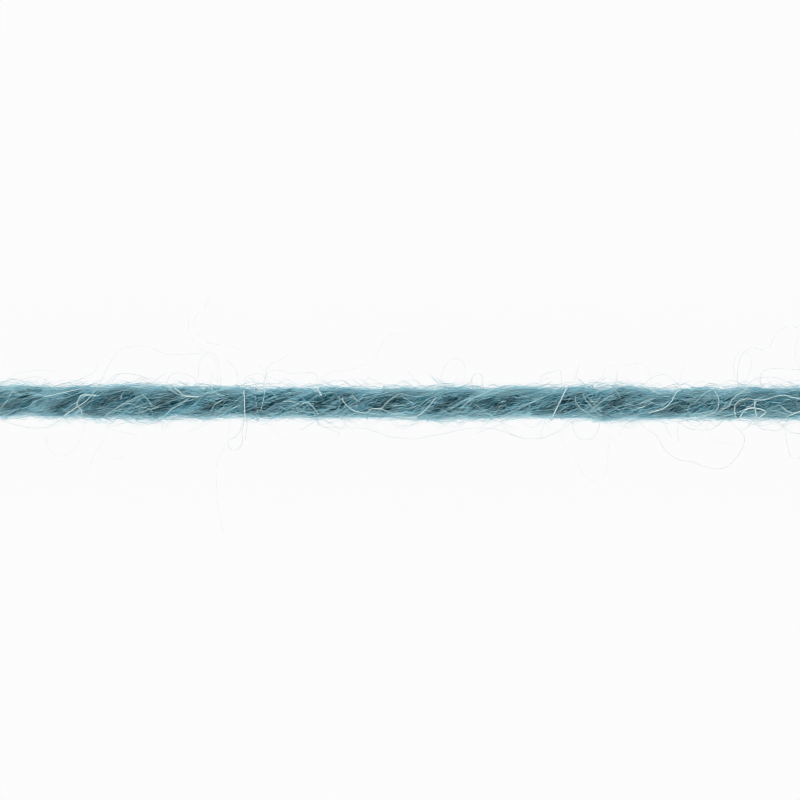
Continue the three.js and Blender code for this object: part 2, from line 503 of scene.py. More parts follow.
def streak_at(streaks, points):
    """How strongly each point lies in one of the streaks, up to the streak's own
    strength. They are on the yarn's upper side only, and fade towards its rims."""
    fades_over = 0.3
    found = np.zeros(points.shape[:-1])
    flat = points[..., :2]
    for streak in streaks:
        route = from_photo(streak.points)
        for a, b in zip(route[:-1], route[1:]):
            way = b - a
            share = np.clip(((flat - a) * way).sum(-1) / (way * way).sum(), 0, 1)
            away = np.linalg.norm(flat - a - share[..., None] * way, axis=-1)
            here = streak.strength * np.exp(-((away / (streak.half_width * PIXEL)) ** 2))
            found = np.maximum(found, here)
    upper = np.clip(points[..., 2] / YARN_RADIUS - 1.0, 0, fades_over) / fades_over
    return found * upper


def thinned_in_hollows(radius, points, share):
    """The radius at each point of hairs, less by a share over a hollow, so the hollow's painted
    shade stays dark.
    """
    thinnest = 0.2
    return radius * np.clip(1 - share * streak_at(HOLLOWS, points), thinnest, 1)


def unit(vectors):
    """Vectors of length one that point the same way."""
    return vectors / (np.linalg.norm(vectors, axis=-1, keepdims=True) + 1e-12)


def smooth_path(points, count):
    """Evenly spaced points on the smooth curve through points."""
    steps = 12
    points = np.asarray(points, float)
    ends = np.array([2 * points[0] - points[1], 2 * points[-1] - points[-2]])
    p = np.concatenate([ends[:1], points, ends[1:]])
    t = np.linspace(0, 1, steps, endpoint=False)[:, None]
    fine = []
    for a, b, c, d in zip(p[:-3], p[1:-2], p[2:-1], p[3:]):
        bend = 2 * a - 5 * b + 4 * c - d + t * (3 * (b - c) + d - a)
        fine.append(b + 0.5 * t * (c - a + t * bend))
    fine = np.concatenate(fine + [points[-1:]])
    gone = np.concatenate([[0], np.cumsum(np.linalg.norm(np.diff(fine, axis=0), axis=1))])
    at = np.linspace(0, gone[-1], count)
    return np.stack([np.interp(at, gone, fine[:, i]) for i in range(points.shape[1])], -1)


def smoothed(values):
    """Values in a row, each the mean of the five around it."""
    window = 5
    padded = np.pad(values, window // 2, mode="edge")
    return np.convolve(padded, np.ones(window) / window, mode="valid")


def along_yarn(middle, length, share):
    """Places along the yarn of the points of hairs, which stay between the cuts."""
    begin = np.clip(middle - length / 2, -HALF_LENGTH, HALF_LENGTH - 1.0 * MM)
    end = np.clip(middle + length / 2, begin + 0.8 * MM, HALF_LENGTH)
    return begin[:, None] + (end - begin)[:, None] * share


def all_along(values, rings):
    """One value for each hair, the same at each of its rings."""
    return np.reshape(values, (-1, 1)) * np.ones(rings)


# Meshes


def tubes(points, radius):
    """Closed three-sided tubes with pointed ends, one along each row of points."""
    sides = 3
    no_hairs_way = [0.31, 0.23, 0.92]
    count, rings = points.shape[:2]
    along = unit(np.gradient(points, axis=1))
    side = np.zeros_like(points)
    side[:, 0] = unit(np.cross(along[:, 0], no_hairs_way))
    for i in range(1, rings):
        carried = side[:, i - 1]
        side[:, i] = unit(carried - (carried * along[:, i]).sum(-1, keepdims=True) * along[:, i])
    other = np.cross(along, side)
    angle = np.arange(sides) * FULL_TURN / sides
    ring = (
        np.cos(angle)[:, None] * side[:, 1:-1, None, :]
        + np.sin(angle)[:, None] * other[:, 1:-1, None, :]
    )
    inner = points[:, 1:-1, None, :] + ring * radius[:, 1:-1, None, None]
    vertices = np.concatenate([inner.reshape(count, -1, 3), points[:, :1], points[:, -1:]], axis=1)
    per_tube = sides * (rings - 2) + 2
    first_tip = per_tube - 2
    last_tip = per_tube - 1
    faces, corner_ring, corner_side = [], [], []
    for s in range(sides):
        t = (s + 1) % sides
        faces.append([first_tip, t, s])
        corner_ring.append([0, 1, 1])
        corner_side.append([s + 0.5, s + 1, s])
        for i in range(rings - 3):
            a, b = i * sides, (i + 1) * sides
            faces.append([a + s, a + t, b + t, b + s])
            corner_ring.append([i + 1, i + 1, i + 2, i + 2])
            corner_side.append([s, s + 1, s + 1, s])
        last = (rings - 3) * sides
        faces.append([last + s, last + t, last_tip])
        corner_ring.append([rings - 2, rings - 2, rings - 1])
        corner_side.append([s, s + 1, s + 0.5])
    flat = np.concatenate([np.array(f) for f in faces])
    corners = (flat[None, :] + per_tube * np.arange(count)[:, None]).ravel()
    vertex_ring = np.concatenate([np.repeat(np.arange(1, rings - 1), sides), [0], [rings - 1]])
    return {
        "vertices": vertices.reshape(-1, 3),
        "sizes": np.tile([len(f) for f in faces], count),
        "corners": corners,
        "ring_of_vertex": vertex_ring,
        "ring_of_corner": np.concatenate([np.array(c) for c in corner_ring]),
        "side_of_corner": np.concatenate([np.array(c) for c in corner_side]),
    }


def mesh_object(name, vertices, sizes, corners, material):
    """A smooth-shaded mesh object from arrays of vertices, face sizes and corners."""
    mesh = bpy.data.meshes.new(name)
    mesh.vertices.add(len(vertices))
    mesh.vertices.foreach_set("co", vertices.astype(np.float32).ravel())
    mesh.loops.add(len(corners))
    mesh.loops.foreach_set("vertex_index", corners.astype(np.int32))
    mesh.polygons.add(len(sizes))
    starts = np.concatenate([[0], np.cumsum(sizes)[:-1]])
    mesh.polygons.foreach_set("loop_start", starts.astype(np.int32))
    mesh.update(calc_edges=True)
    mesh.shade_smooth()
    mesh.materials.append(material)
    piece = bpy.data.objects.new(name, mesh)
    bpy.context.scene.collection.objects.link(piece)
    return piece


def paint(mesh, name, values):
    """Stores one number for each vertex."""
    attribute = mesh.attributes.new(name, "FLOAT", "POINT")
    attribute.data.foreach_set("value", np.ascontiguousarray(values, np.float32).ravel())


def map_corners(mesh, name, across, up):
    """Stores a map of the mesh: how far across and up it each corner lies."""
    layer = mesh.uv_layers.new(name=name)
    layer.uv.foreach_set("vector", np.stack([across, up], -1).astype(np.float32).ravel())


# On the map of a piece of hairs: its empty edge, how far it spreads from the darkest
# to the palest hair and from the greyest to the bluest, and how far the neighbouring
# corners of one hair lie apart.
MAP_EDGE = 0.01
TONE_SPREAD = 0.95
CAST_SPREAD = 0.8
MAP_STEP = 0.004


def hair_piece(name, points, radius, tone, cast, wool="dyed wool hair"):
    """One joined mesh of hairs. tone runs from dark to light and cast from grey to blue, a value
    for each point of each hair; besides the hairs' own colour, both can hold painted light and
    shade. On the map, a hair lies at the place of its tone and cast."""
    made = tubes(points, radius)
    material = wool_material(wool)
    piece = mesh_object(name, made["vertices"], made["sizes"], made["corners"], material)
    paint(piece.data, "tone", tone[:, made["ring_of_vertex"]])
    paint(piece.data, "cast", cast[:, made["ring_of_vertex"]])
    ring = made["ring_of_corner"]
    across = MAP_EDGE + tone[:, ring] * TONE_SPREAD + made["side_of_corner"] * MAP_STEP
    up = MAP_EDGE + cast[:, ring] * CAST_SPREAD + ring * MAP_STEP
    map_corners(piece.data, "OFBake", across, up)
    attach(piece, BODY)
    return piece


# Materials


def linear(red, green, blue):
    """A colour of the scene's light from its display values, 0 to 255."""
    shares = [value / 255 for value in (red, green, blue)]
    return tuple(s / 12.92 if s <= 0.04045 else ((s + 0.055) / 1.055) ** 2.4 for s in shares)


# The colours of the hairs, from dark tone to pale, and of the core, whose dark colours are painted
# shade: each a place on the ramp and the setting that holds the colour there. The hairs' colours
# are multiplied by the grey lean where the cast is 0 and by the blue lean where it is 1.
RAMPS = {
    "dyed wool hair": [
        (0.0, "deep_shade"),
        (0.35, "middle_shade"),
        (0.7, "light_shade"),
        (1.0, "palest_shade"),
    ],
    "undyed wool hair": [(0.0, "dull_undyed"), (1.0, "pale_undyed")],
    "matted wool in painted shade": [(0.35, "dark_core"), (0.7, "light_core")],
}
GREY_LEAN = (1.0, 1.0, 0.99, 1.0)
BLUE_LEAN = (0.845, 0.98, 1.0, 1.0)

# The places of a Mix node's two colours among its inputs, and of the mixed colour
# among its outputs.
FIRST_COLOUR = 6
SECOND_COLOUR = 7
MIXED_COLOUR = 2


def plain_material(name):
    """A new material with its nodes and links."""
    material = bpy.data.materials.new(name)
    material.use_nodes = True
    return material, material.node_tree.nodes, material.node_tree.links


def ramp_node(nodes, name, looks):
    """The colours of a material on a ramp."""
    ramp = nodes.new("ShaderNodeValToRGB")
    stops = ramp.color_ramp.elements
    while len(stops) < len(RAMPS[name]):
        stops.new(0.5)
    for stop, (place, setting) in zip(stops, RAMPS[name]):
        stop.position = place
        stop.color = (*getattr(looks, setting), 1.0)
    return ramp


def wool_material(name):
    """Wool hair whose colour runs along its ramp by tone and leans to blue by cast.
    Part of the light that falls on a hair passes through it."""
    if name in bpy.data.materials:
        return bpy.data.materials[name]
    looks = bpy.context.scene.yarn_looks
    material, nodes, links = plain_material(name)
    shader = nodes["Principled BSDF"]
    tone = nodes.new("ShaderNodeAttribute")
    tone.attribute_name = "tone"
    colours = ramp_node(nodes, name, looks)
    cast = nodes.new("ShaderNodeAttribute")
    cast.attribute_name = "cast"
    lean = nodes.new("ShaderNodeMix")
    lean.data_type = "RGBA"
    lean.inputs[FIRST_COLOUR].default_value = GREY_LEAN
    lean.inputs[SECOND_COLOUR].default_value = BLUE_LEAN
    tint = nodes.new("ShaderNodeMix")
    tint.data_type = "RGBA"
    tint.blend_type = "MULTIPLY"
    tint.inputs["Factor"].default_value = 1.0
    through = nodes.new("ShaderNodeBsdfTranslucent")
    both = nodes.new("ShaderNodeMixShader")
    both.inputs["Fac"].default_value = looks.light_let_through
    links.new(tone.outputs["Fac"], colours.inputs["Fac"])
    links.new(cast.outputs["Fac"], lean.inputs["Factor"])
    links.new(colours.outputs["Color"], tint.inputs[FIRST_COLOUR])
    links.new(lean.outputs[MIXED_COLOUR], tint.inputs[SECOND_COLOUR])
    links.new(tint.outputs[MIXED_COLOUR], shader.inputs["Base Color"])
    links.new(tint.outputs[MIXED_COLOUR], through.inputs["Color"])
    links.new(shader.outputs[0], both.inputs[1])
    links.new(through.outputs[0], both.inputs[2])
    links.new(both.outputs[0], nodes["Material Output"].inputs["Surface"])
    shader.inputs["Roughness"].default_value = looks.roughness
    shader.inputs["Specular IOR Level"].default_value = 0.15
    return material


def core_material(looks):
    """The matted inside of a ply: dark, as painted shade of the deep ply, with fine streaks along
    the hairs.
    """
    name = "matted wool in painted shade"
    material, nodes, links = plain_material(name)
    shader = nodes["Principled BSDF"]
    lay = nodes.new("ShaderNodeUVMap")
    lay.uv_map = "lay of the hairs"
    noise = nodes.new("ShaderNodeTexNoise")
    noise.noise_dimensions = "2D"
    noise.inputs["Scale"].default_value = 1.0
    noise.inputs["Detail"].default_value = 4.0
    colours = ramp_node(nodes, name, looks)
    links.new(lay.outputs["UV"], noise.inputs["Vector"])
    links.new(noise.outputs["Fac"], colours.inputs["Fac"])
    links.new(colours.outputs["Color"], shader.inputs["Base Color"])
    shader.inputs["Roughness"].default_value = 0.8
    shader.inputs["Specular IOR Level"].default_value = 0.2
    return material


# Settings


def colour(name, description, red, green, blue):
    """A setting of a colour, whose default is given by its display values."""
    return FloatVectorProperty(
        name=name,
        description=description,
        default=linear(red, green, blue),
        subtype="COLOR",
        size=3,
        min=0,
        max=1,
    )


def length(name, description, metres):
    """A setting of a length."""
    return FloatProperty(
        name=name, description=description, default=metres, unit="LENGTH", precision=6
    )


def share(name, description, default):
    """A setting of a share, from 0 to 1."""
    return FloatProperty(
        name=name, description=description, default=default, min=0, max=1, subtype="FACTOR"
    )


def strength(name, description, default):
    """A setting of how strong a light is."""
    return FloatProperty(name=name, description=description, default=default, min=0)


def number(name, description, default):
    """A setting of how many hairs there are."""
    return IntProperty(name=name, description=description, default=default, min=1)


class YarnLooks(bpy.types.PropertyGroup):
    """Colours and finish of the wool, and number and sizes of the hairs."""

    deep_shade: colour("Deep shade", "Of the darkest dyed hairs", 93, 155, 172)
    middle_shade: colour("Middle shade", "Of most dyed hairs", 143, 202, 216)
    light_shade: colour("Light shade", "Of dyed hairs that rise off the yarn", 194, 229, 237)
    palest_shade: colour("Palest shade", "Of the dyed hairs that took least dye", 238, 250, 252)
    dull_undyed: colour("Dull undyed", "Of the darkest undyed hairs", 165, 180, 185)
    pale_undyed: colour("Pale undyed", "Of the palest undyed hairs", 240, 248, 247)
    # The core's colours are darker than the hairs': painted shade of the deep inside of the plies.
    dark_core: colour("Dark core", "Of the dark streaks of the matted inside", 56, 106, 120)
    light_core: colour("Light core", "Of the light streaks of the matted inside", 92, 152, 170)
    light_let_through: share(
        "Light let through", "Share of the light on a hair that passes through it", 0.75
    )
    roughness: share("Roughness", "Of a hair's own surface", 0.6)
    core_share: share("Core", "Size of a ply's matted inside as a share of the ply", 0.52)
    locks: number("Locks", "Bundles of hairs in one ply", 230)
    lock_hairs: number("Hairs in a lock", "Hairs in one bundle", 10)
    hair_thickness: length("Hair thickness", "Mean thickness of the laid hairs", 0.055 * MM)
    hollow_depth: length(
        "Depth of the hollows", "How far the hairs sink in a hollow of full strength", 0.10 * MM
    )
    hair_climb: FloatProperty(
        name="Climb of the hairs",
        description="Angle that a hair turns back round its ply for each metre, in radians",
        default=-110.0,
    )
    halo_hairs: number("Halo hairs", "Fine hairs in the shell round the yarn", 4000)
    halo_thickness: length("Halo hair thickness", "Mean thickness of the halo hairs", 0.022 * MM)
    end_hairs: number("End hairs", "Hair ends that stand out of a ply's cut", 520)
    crossing_hairs: number("Crossing hairs", "Pale hairs that lie over the plies", 1250)
    crossing_thickness: length(
        "Crossing hair thickness", "Mean thickness of the crossing hairs", 0.050 * MM
    )
    fuzz_hairs: number("Fuzz hairs", "Short hairs that stand off the yarn", 1400)
    fuzz_thickness: length("Fuzz thickness", "Mean thickness of the fuzz hairs", 0.014 * MM)


class YarnStage(bpy.types.PropertyGroup):
    """The light table, the light and the camera."""

    view_width: length(
        "View width", "Width of the camera's view at the yarn", PHOTO_WIDTH * PIXEL
    )
    camera_height: length("Camera height", "Over the yarn", 0.5)
    camera_aim: length(
        "Camera aim",
        "How far towards +Y of the yarn's middle the camera looks",
        (YARN_ROW - PHOTO_WIDTH / 2) * PIXEL,
    )
    table_glow: strength("Table glow", "Light that the table gives by itself", 0.95)
    light_overhead: strength(
        "Light overhead", "Brightness of the studio straight above", 0.2
    )
    light_from_sides: strength(
        "Light from the sides", "Brightness of the studio low down beside the yarn", 9.0
    )
    light_on_ends: share(
        "Light on the ends",
        "Share of the light from the sides that comes from the yarn's two ends",
        0.12,
    )


# Makers of pieces


def ring_grid(stations, around):
    """Face sizes and corners of a tube of rings, with a cap at both ends, and how
    many times round each corner has come."""
    i = np.arange(stations - 1)[:, None] * around
    j = np.arange(around)[None, :]
    k = (j + 1) % around
    quads = np.stack([i + j, i + around + j, i + around + k, i + k], -1).reshape(-1, 4)
    wrapped = np.zeros_like(quads)
    wrapped[quads[:, 2] % around == 0, 2:] = 1
    cap = np.arange(around)
    corners = np.concatenate([quads.ravel(), cap, (cap + (stations - 1) * around)[::-1]])
    rounds = np.concatenate([wrapped.ravel(), 0 * cap, 0 * cap])
    sizes = np.concatenate([np.full(len(quads), 4), [around, around]])
    return sizes, corners, rounds


def make_cores(looks):
    """The three plies' matted insides in one mesh."""
    stations = 361
    around = 20
    corner_gap = 0.05 * MM
    unevenness = 0.02
    taper_length = 0.8 * MM
    taper = 0.93
    streak_length = 1.2 * MM
    streak_turn = 0.05
    streaks_apart = 40
    strip_edge = 0.05
    rng = np.random.default_rng(3)
    along = np.repeat(np.linspace(-HALF_LENGTH, HALF_LENGTH, stations), around)
    turn = np.tile(np.linspace(0, FULL_TURN, around, endpoint=False), stations)
    grid_sizes, grid_corners, rounds = ring_grid(stations, around)
    round_turn = turn[grid_corners] + FULL_TURN * rounds
    here = along[grid_corners]
    vertices, sizes, corners, lay, strip = [], [], [], [], []
    for ply in range(PLIES):
        depth = LOBE_RADIUS * looks.core_share * (1 + unevenness * rng.normal(size=turn.shape))
        depth *= 1 - taper * np.clip(1 - (HALF_LENGTH - np.abs(along)) / taper_length, 0, 1)
        out = np.maximum(LOBE_CENTRE + depth * np.cos(turn), corner_gap)
        flank = np.maximum(out * math.tan(math.pi / PLIES) - corner_gap, 0)
        across = np.clip(depth * np.sin(turn), -flank, flank)
        turns, thickness, stray = course_at(along)
        back = FULL_TURN * (turns + ply / PLIES)
        y = stray + thickness * (out * np.sin(back) + across * np.cos(back))
        middle = YARN_RADIUS * thickness - SETTLE_DEPTH
        z = middle + thickness * (out * np.cos(back) - across * np.sin(back))
        vertices.append(np.stack([along, y, np.maximum(z, CLEAR_OF_SURFACE)], -1))
        sizes.append(grid_sizes)
        corners.append(grid_corners + ply * stations * around)
        streak = (round_turn - looks.hair_climb * here) / streak_turn + ply * streaks_apart
        lay.append(np.stack([here / streak_length, streak], -1))
        up = (ply + strip_edge + (1 - 2 * strip_edge) * round_turn / FULL_TURN) / PLIES
        strip.append(np.stack([MAP_EDGE + (0.5 - MAP_EDGE) * (here / HALF_LENGTH + 1), up], -1))
    piece = mesh_object(
        "yarn_core",
        np.concatenate(vertices),
        np.concatenate(sizes),
        np.concatenate(corners),
        core_material(looks),
    )
    map_corners(piece.data, "lay of the hairs", *np.concatenate(lay).T)
    map_corners(piece.data, "OFBake", *np.concatenate(strip).T)
    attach(piece, BODY)
    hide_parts(*PLY_NODES)
    route = np.linspace(-HALF_LENGTH, HALF_LENGTH, 33)
    _, thickness, stray = course_at(route)
    return piece


def make_laid_hairs(ply, looks, rings=14):
    """The hairs of one ply, laid in locks along its twist. Their tone holds painted shade deep in
    the ply and in the hollows, and painted light where they rise, at the rims and on the ridges;
    their cast is painted greyer at the rims and bluer towards +Y."""
    mean_rise = 0.64
    painted_light_with_rise = 1.4
    darker_in_all = 0.175
    painted_shade_in_hollows = 0.42
    painted_backlight_at_rims = 0.67
    painted_highlight_on_ridges = 0.3
    darkest_line = -0.22 * MM
    share_of_light_hairs = 0.24
    painted_shade_on_pale_in_hollows = 0.6
    buried = 0.56
    fully_out = 0.12
    ends_sink = 0.10
    deepest_lock = 0.48
    lock_depths = 0.27
    mean_cast = 0.66
    painted_light_bluer_towards_y = 0.2
    painted_backlight_greyer_at_rims = 0.38
    rng = np.random.default_rng(11 + ply)
    locks = looks.locks
    count = locks * looks.lock_hairs
    lock = np.repeat(np.arange(locks), looks.lock_hairs)
    lock_place = rng.uniform(-HALF_LENGTH, HALF_LENGTH, locks)
    lock_turn = rng.uniform(-2.3, 2.3, locks)
    lock_climb = rng.normal(looks.hair_climb, 170, locks)
    lock_depth = deepest_lock + lock_depths * rng.beta(1.5, 1.6, locks)
    lock_tone = rng.normal(0.47, 0.10, locks)
    lock_wave = rng.uniform(2.5, 6.0, locks) * MM
    lock_phase = rng.uniform(0, FULL_TURN, locks)
    lock_swing = rng.uniform(0.02, 0.2, locks)
    lock_width = rng.uniform(0.03, 0.10, locks)

    middle = lock_place[lock] + rng.normal(0, 1.0 * MM, count)
    length = rng.uniform(4.0, 10.0, count) * MM
    s = np.linspace(0, 1, rings)
    along = along_yarn(middle, length, s)
    own_wave = rng.uniform(1.5, 4.0, count)[:, None] * MM
    own_phase = rng.uniform(0, FULL_TURN, count)[:, None]
    turn = (
        (lock_turn[lock] + rng.normal(0, 1, count) * lock_width[lock])[:, None]
        + (lock_climb[lock] + rng.normal(0, 60, count))[:, None] * (along - middle[:, None])
        + lock_swing[lock][:, None]
        * np.sin(FULL_TURN * along / lock_wave[lock][:, None] + lock_phase[lock][:, None])
        + rng.uniform(0.0, 0.16, count)[:, None] * np.sin(FULL_TURN * along / own_wave + own_phase)
    )
    rise = lock_depth[lock] + rng.normal(0, 0.035, count)
    lift = rng.exponential(0.05, count) * (rng.uniform(size=count) < 0.5)
    bow = np.sin(math.pi * s) ** 1.5
    dip = np.abs(2 * s - 1) ** 3
    depth = LOBE_RADIUS * (rise[:, None] - ends_sink * dip + lift[:, None] * bow)
    hollow = streak_at(HOLLOWS, on_ply(ply, along, turn, depth))
    points = on_ply(ply, along, turn, depth - looks.hollow_depth * hollow)
    radius = all_along(looks.hair_thickness / 2 * rng.uniform(0.7, 1.4, count), rings)
    # Painted shade: a pale hair's extra paleness fades out the deeper the hair lies.
    outermost = np.clip((rise - buried) / fully_out, 0, 1)
    is_light = rng.uniform(size=count) < share_of_light_hairs
    light = is_light * rng.uniform(0.35, 0.9, count) * outermost
    # Painted backlight: the tone rises with the square of the distance across from a line just
    # towards -Y of the middle, so the rims are painted pale.
    beside = (points[..., 1] - course_at(along)[2] - darkest_line) / RIM
    tone = lock_tone[lock] + rng.normal(0, 0.12, count)
    # Painted light and shade: a hair that lies higher, or is lifted off the ply, is paler, and one
    # that lies deeper is darker.
    tone = tone + (rise - mean_rise) * painted_light_with_rise + lift
    # Painted shade darkens the hollows; the rims are painted pale.
    tone = tone[:, None] - darker_in_all + painted_backlight_at_rims * beside**2 - painted_shade_in_hollows * hollow
    # Painted shade also dims a pale hair's paleness in the hollows.
    tone = tone + light[:, None] * (1 - painted_shade_on_pale_in_hollows * hollow)
    # Painted highlight on the ridges.
    tone = tone + painted_highlight_on_ridges * streak_at(HIGHLIGHT_RIDGES, points)
    tone = np.clip(tone, 0.02, 0.98)
    # Painted light in the cast: greyer at the rims, as by backlight, and bluer towards +Y, where
    # more light falls.
    side = points[..., 1] / RIM
    cast = rng.normal(mean_cast, 0.05, count)[:, None]
    cast = np.clip(cast + painted_light_bluer_towards_y * side - painted_backlight_greyer_at_rims * side**2, 0, 1)
    return hair_piece(f"laid_hairs_{ply + 1}", points, radius, tone, cast)


def make_halo(looks, rings=10):
    """Fine pale hairs in a loose shell round the yarn, combed along its twist."""
    shell_radius = 1.11 * MM
    least_bow = 0.06 * MM
    ripple = 0.03 * MM
    ripple_share = 0.6
    free_ended = 0.6
    free_reach = 1.6
    more_at_sides = 0.2
    thinner_over_hollows = 0.7
    rng = np.random.default_rng(31)
    count = looks.halo_hairs
    middle = rng.uniform(-HALF_LENGTH, HALF_LENGTH, count)
    length = rng.uniform(1.2, 4.2, count) * MM
    s = np.linspace(0, 1, rings)
    along = along_yarn(middle, length, s)
    _, thickness, stray = course_at(along)
    wave = rng.uniform(1.2, 4.0, (count, 1)) * MM
    phase = rng.uniform(0, FULL_TURN, (count, 1))
    swing = rng.uniform(0.0, 0.25, (count, 1))
    place = rng.uniform(0, FULL_TURN, (count, 1))
    place = place + more_at_sides * np.sin(2 * place)
    around = (
        place
        + rng.normal(180, 260, (count, 1)) * (along - middle[:, None])
        + swing * np.sin(FULL_TURN * along / wave + phase)
    )
    upper_edge = np.sin(place)
    farthest = MM * (0.15 + 0.02 * upper_edge) * rng.gamma(1.6, 1.0, (count, 1))
    held_at_both_ends = np.sin(math.pi * s) ** rng.uniform(0.3, 1.0, (count, 1))
    free_tip = s ** rng.uniform(0.8, 3.0, (count, 1))
    free_tip = np.where(rng.uniform(size=(count, 1)) < 0.5, free_tip, free_tip[:, ::-1])
    stands_off = rng.uniform(size=(count, 1)) < free_ended
    bow = np.where(stands_off, free_reach * free_tip, held_at_both_ends)
    reach = thickness * (shell_radius + (farthest + least_bow) * bow)
    reach = reach + ripple * np.sin(FULL_TURN * along / (ripple_share * wave) + phase)
    y = stray + reach * np.sin(around)
    z = YARN_RADIUS * thickness - SETTLE_DEPTH + reach * np.cos(around)
    points = np.stack([along, y, np.maximum(z, CLEAR_OF_SURFACE)], -1)
    radius = all_along(looks.halo_thickness / 2 * rng.uniform(0.7, 1.3, count), rings)
    radius = thinned_in_hollows(radius, points, thinner_over_hollows)
    # Painted light: like the laid hairs, the halo hairs are greyer at the yarn's sides and bluer
    # towards +Y, and a little darker towards +Y.
    tone = np.clip(rng.normal(0.82, 0.12, (count, 1)) - 0.06 * upper_edge, 0.05, 0.98)
    cast = np.clip(rng.normal(0.6, 0.1, (count, 1)) - 0.4 * upper_edge**2 + 0.1 * upper_edge, 0, 1)
    return hair_piece("halo_hairs", points, radius, all_along(tone, rings), all_along(cast, rings))


def wander(rng, start, heading, length, rings, bend, reach):
    """Hairs that set out from start along heading, curl at random and stay within
    reach of the yarn. They are turned away from its plies and from the surface."""
    turned_back = 0.8
    turned_out = 0.9
    near_ply = 0.1 * MM
    near_surface = 0.15 * MM
    strongest = 1.5
    restless = 0.5
    points = np.empty((len(start), rings, 3))
    points[:, 0] = start
    step = (length / (rings - 1))[:, None]
    axis = unit(rng.normal(size=start.shape))
    for i in range(1, rings):
        points[:, i] = points[:, i - 1] + heading * step
        distance, out = away_from_yarn(points[:, i])
        too_far = np.clip((distance - reach) / reach, 0, strongest)[:, None]
        too_near = np.clip(-distance / near_ply, 0, strongest)[:, None]
        low = np.clip(1 - points[:, i, 2:] / near_surface, 0, 1)
        heading = heading + np.cross(axis, heading) * bend[:, None] * step
        heading = heading - too_far * out * turned_back + too_near * out * turned_out
        heading = unit(heading + low * [0, 0, 1.0])
        axis = unit(axis + restless * rng.normal(size=axis.shape))
        points[:, i, 2] = np.maximum(points[:, i, 2], CLEAR_OF_SURFACE)
    return points


# Two kinds of hairs that leave the plies: their mean reach and their shortest and
# longest length, in millimetres, how sharply they bend, in radians for each metre, how
# much their first direction spreads round the yarn and away from it, and their mean
# cast.
Fuzz = namedtuple("Fuzz", "name seed reach lengths bends spread outward cast")
CROSSING = Fuzz("crossing_hairs", 21, 0.03, (2.0, 6.0), (150, 700), 0.8, 0.2, 0.62)
WIDE = Fuzz("wide_fuzz", 22, 0.17, (1.0, 4.0), (400, 1600), 0.7, 0.7, 0.3)


def make_fuzz(fuzz, count, thickness, rings=12):
    """Hairs that leave the plies, curl and mostly come back. One that runs far past a
    cut is folded back over the yarn."""
    root_share = 0.66
    along_the_twist = -0.3
    least_reach = 0.04 * MM
    past_the_cut = 0.5 * MM
    thinner_over_hollows = 0.4
    rng = np.random.default_rng(fuzz.seed)
    ply = rng.integers(0, PLIES, count)
    along = rng.uniform(-HALF_LENGTH, HALF_LENGTH, count)
    turn = rng.uniform(-1.9, 1.9, count)
    start = np.empty((count, 3))
    for i in range(PLIES):
        own = ply == i
        start[own] = on_ply(i, along[own], turn[own], LOBE_RADIUS * root_share)
    _, out = away_from_yarn(start)
    way = np.where(rng.uniform(size=count) < 0.5, 1.0, -1.0)[:, None]
    around = np.cross([1.0, 0, 0], out)
    heading = unit(
        way * ([1.0, 0, 0] + around * rng.normal(along_the_twist, fuzz.spread, (count, 1)))
        + out * np.abs(rng.normal(0, fuzz.outward, (count, 1)))
    )
    far = fuzz.reach * MM * rng.exponential(1.0, count) + least_reach
    length = rng.uniform(*fuzz.lengths, count) * MM
    points = wander(rng, start, heading, length, rings, rng.uniform(*fuzz.bends, count), far)
    past_end = np.maximum(np.abs(points[..., 0]) - HALF_LENGTH - past_the_cut, 0)
    points[..., 0] -= 2 * past_end * np.sign(points[..., 0])
    radius = all_along(thickness / 2 * rng.uniform(0.7, 1.4, count), rings)
    radius = thinned_in_hollows(radius, points, thinner_over_hollows)
    tone = all_along(np.clip(rng.normal(0.82, 0.14, count), 0.05, 1.0), rings)
    cast = all_along(np.clip(rng.normal(fuzz.cast, 0.12, count), 0, 1), rings)
    return hair_piece(fuzz.name, points, radius, tone, cast)


def make_end_tufts(looks):
    """The cut ends of each ply's hairs, which stand a little past the cut. The last
    step of each hair is a short one, so its end is blunt."""
    spread_share = 0.74
    farthest = 0.6
    rng = np.random.default_rng(51)
    per_end = looks.end_hairs
    s = np.array([0, 0.3, 0.6, 0.88, 0.985, 1])
    rings = len(s)
    paths = []
    for ply in range(PLIES):
        for end in (-1, 1):
            inside = rng.uniform(0.8, 2.2, (per_end, 1)) * MM
            past = np.minimum(rng.exponential(0.16, (per_end, 1)), farthest) * MM
            along = end * (HALF_LENGTH - inside + (inside + past) * s)
            turn = rng.uniform(0, FULL_TURN, (per_end, 1)) + rng.normal(0, 0.25, (per_end, 1)) * s
            depth = LOBE_RADIUS * spread_share * np.sqrt(rng.uniform(0, 1, (per_end, 1)))
            splay = 1 + rng.uniform(-0.05, 0.3, (per_end, 1)) * s**2
            paths.append(on_ply(ply, along, turn, depth * splay))
    points = np.concatenate(paths)
    count = len(points)
    radius = all_along(looks.hair_thickness / 2 * rng.uniform(0.7, 1.3, count), rings)
    # Painted light: the end hairs are paler than the laid ones, lighting the cut ends that little
    # light reaches.
    tone = all_along(np.clip(rng.normal(0.93, 0.1, count), 0.02, 0.98), rings)
    cast = all_along(np.clip(rng.normal(0.8, 0.15, count), 0, 1), rings)
    return hair_piece("end_tufts", points, radius, tone, cast)


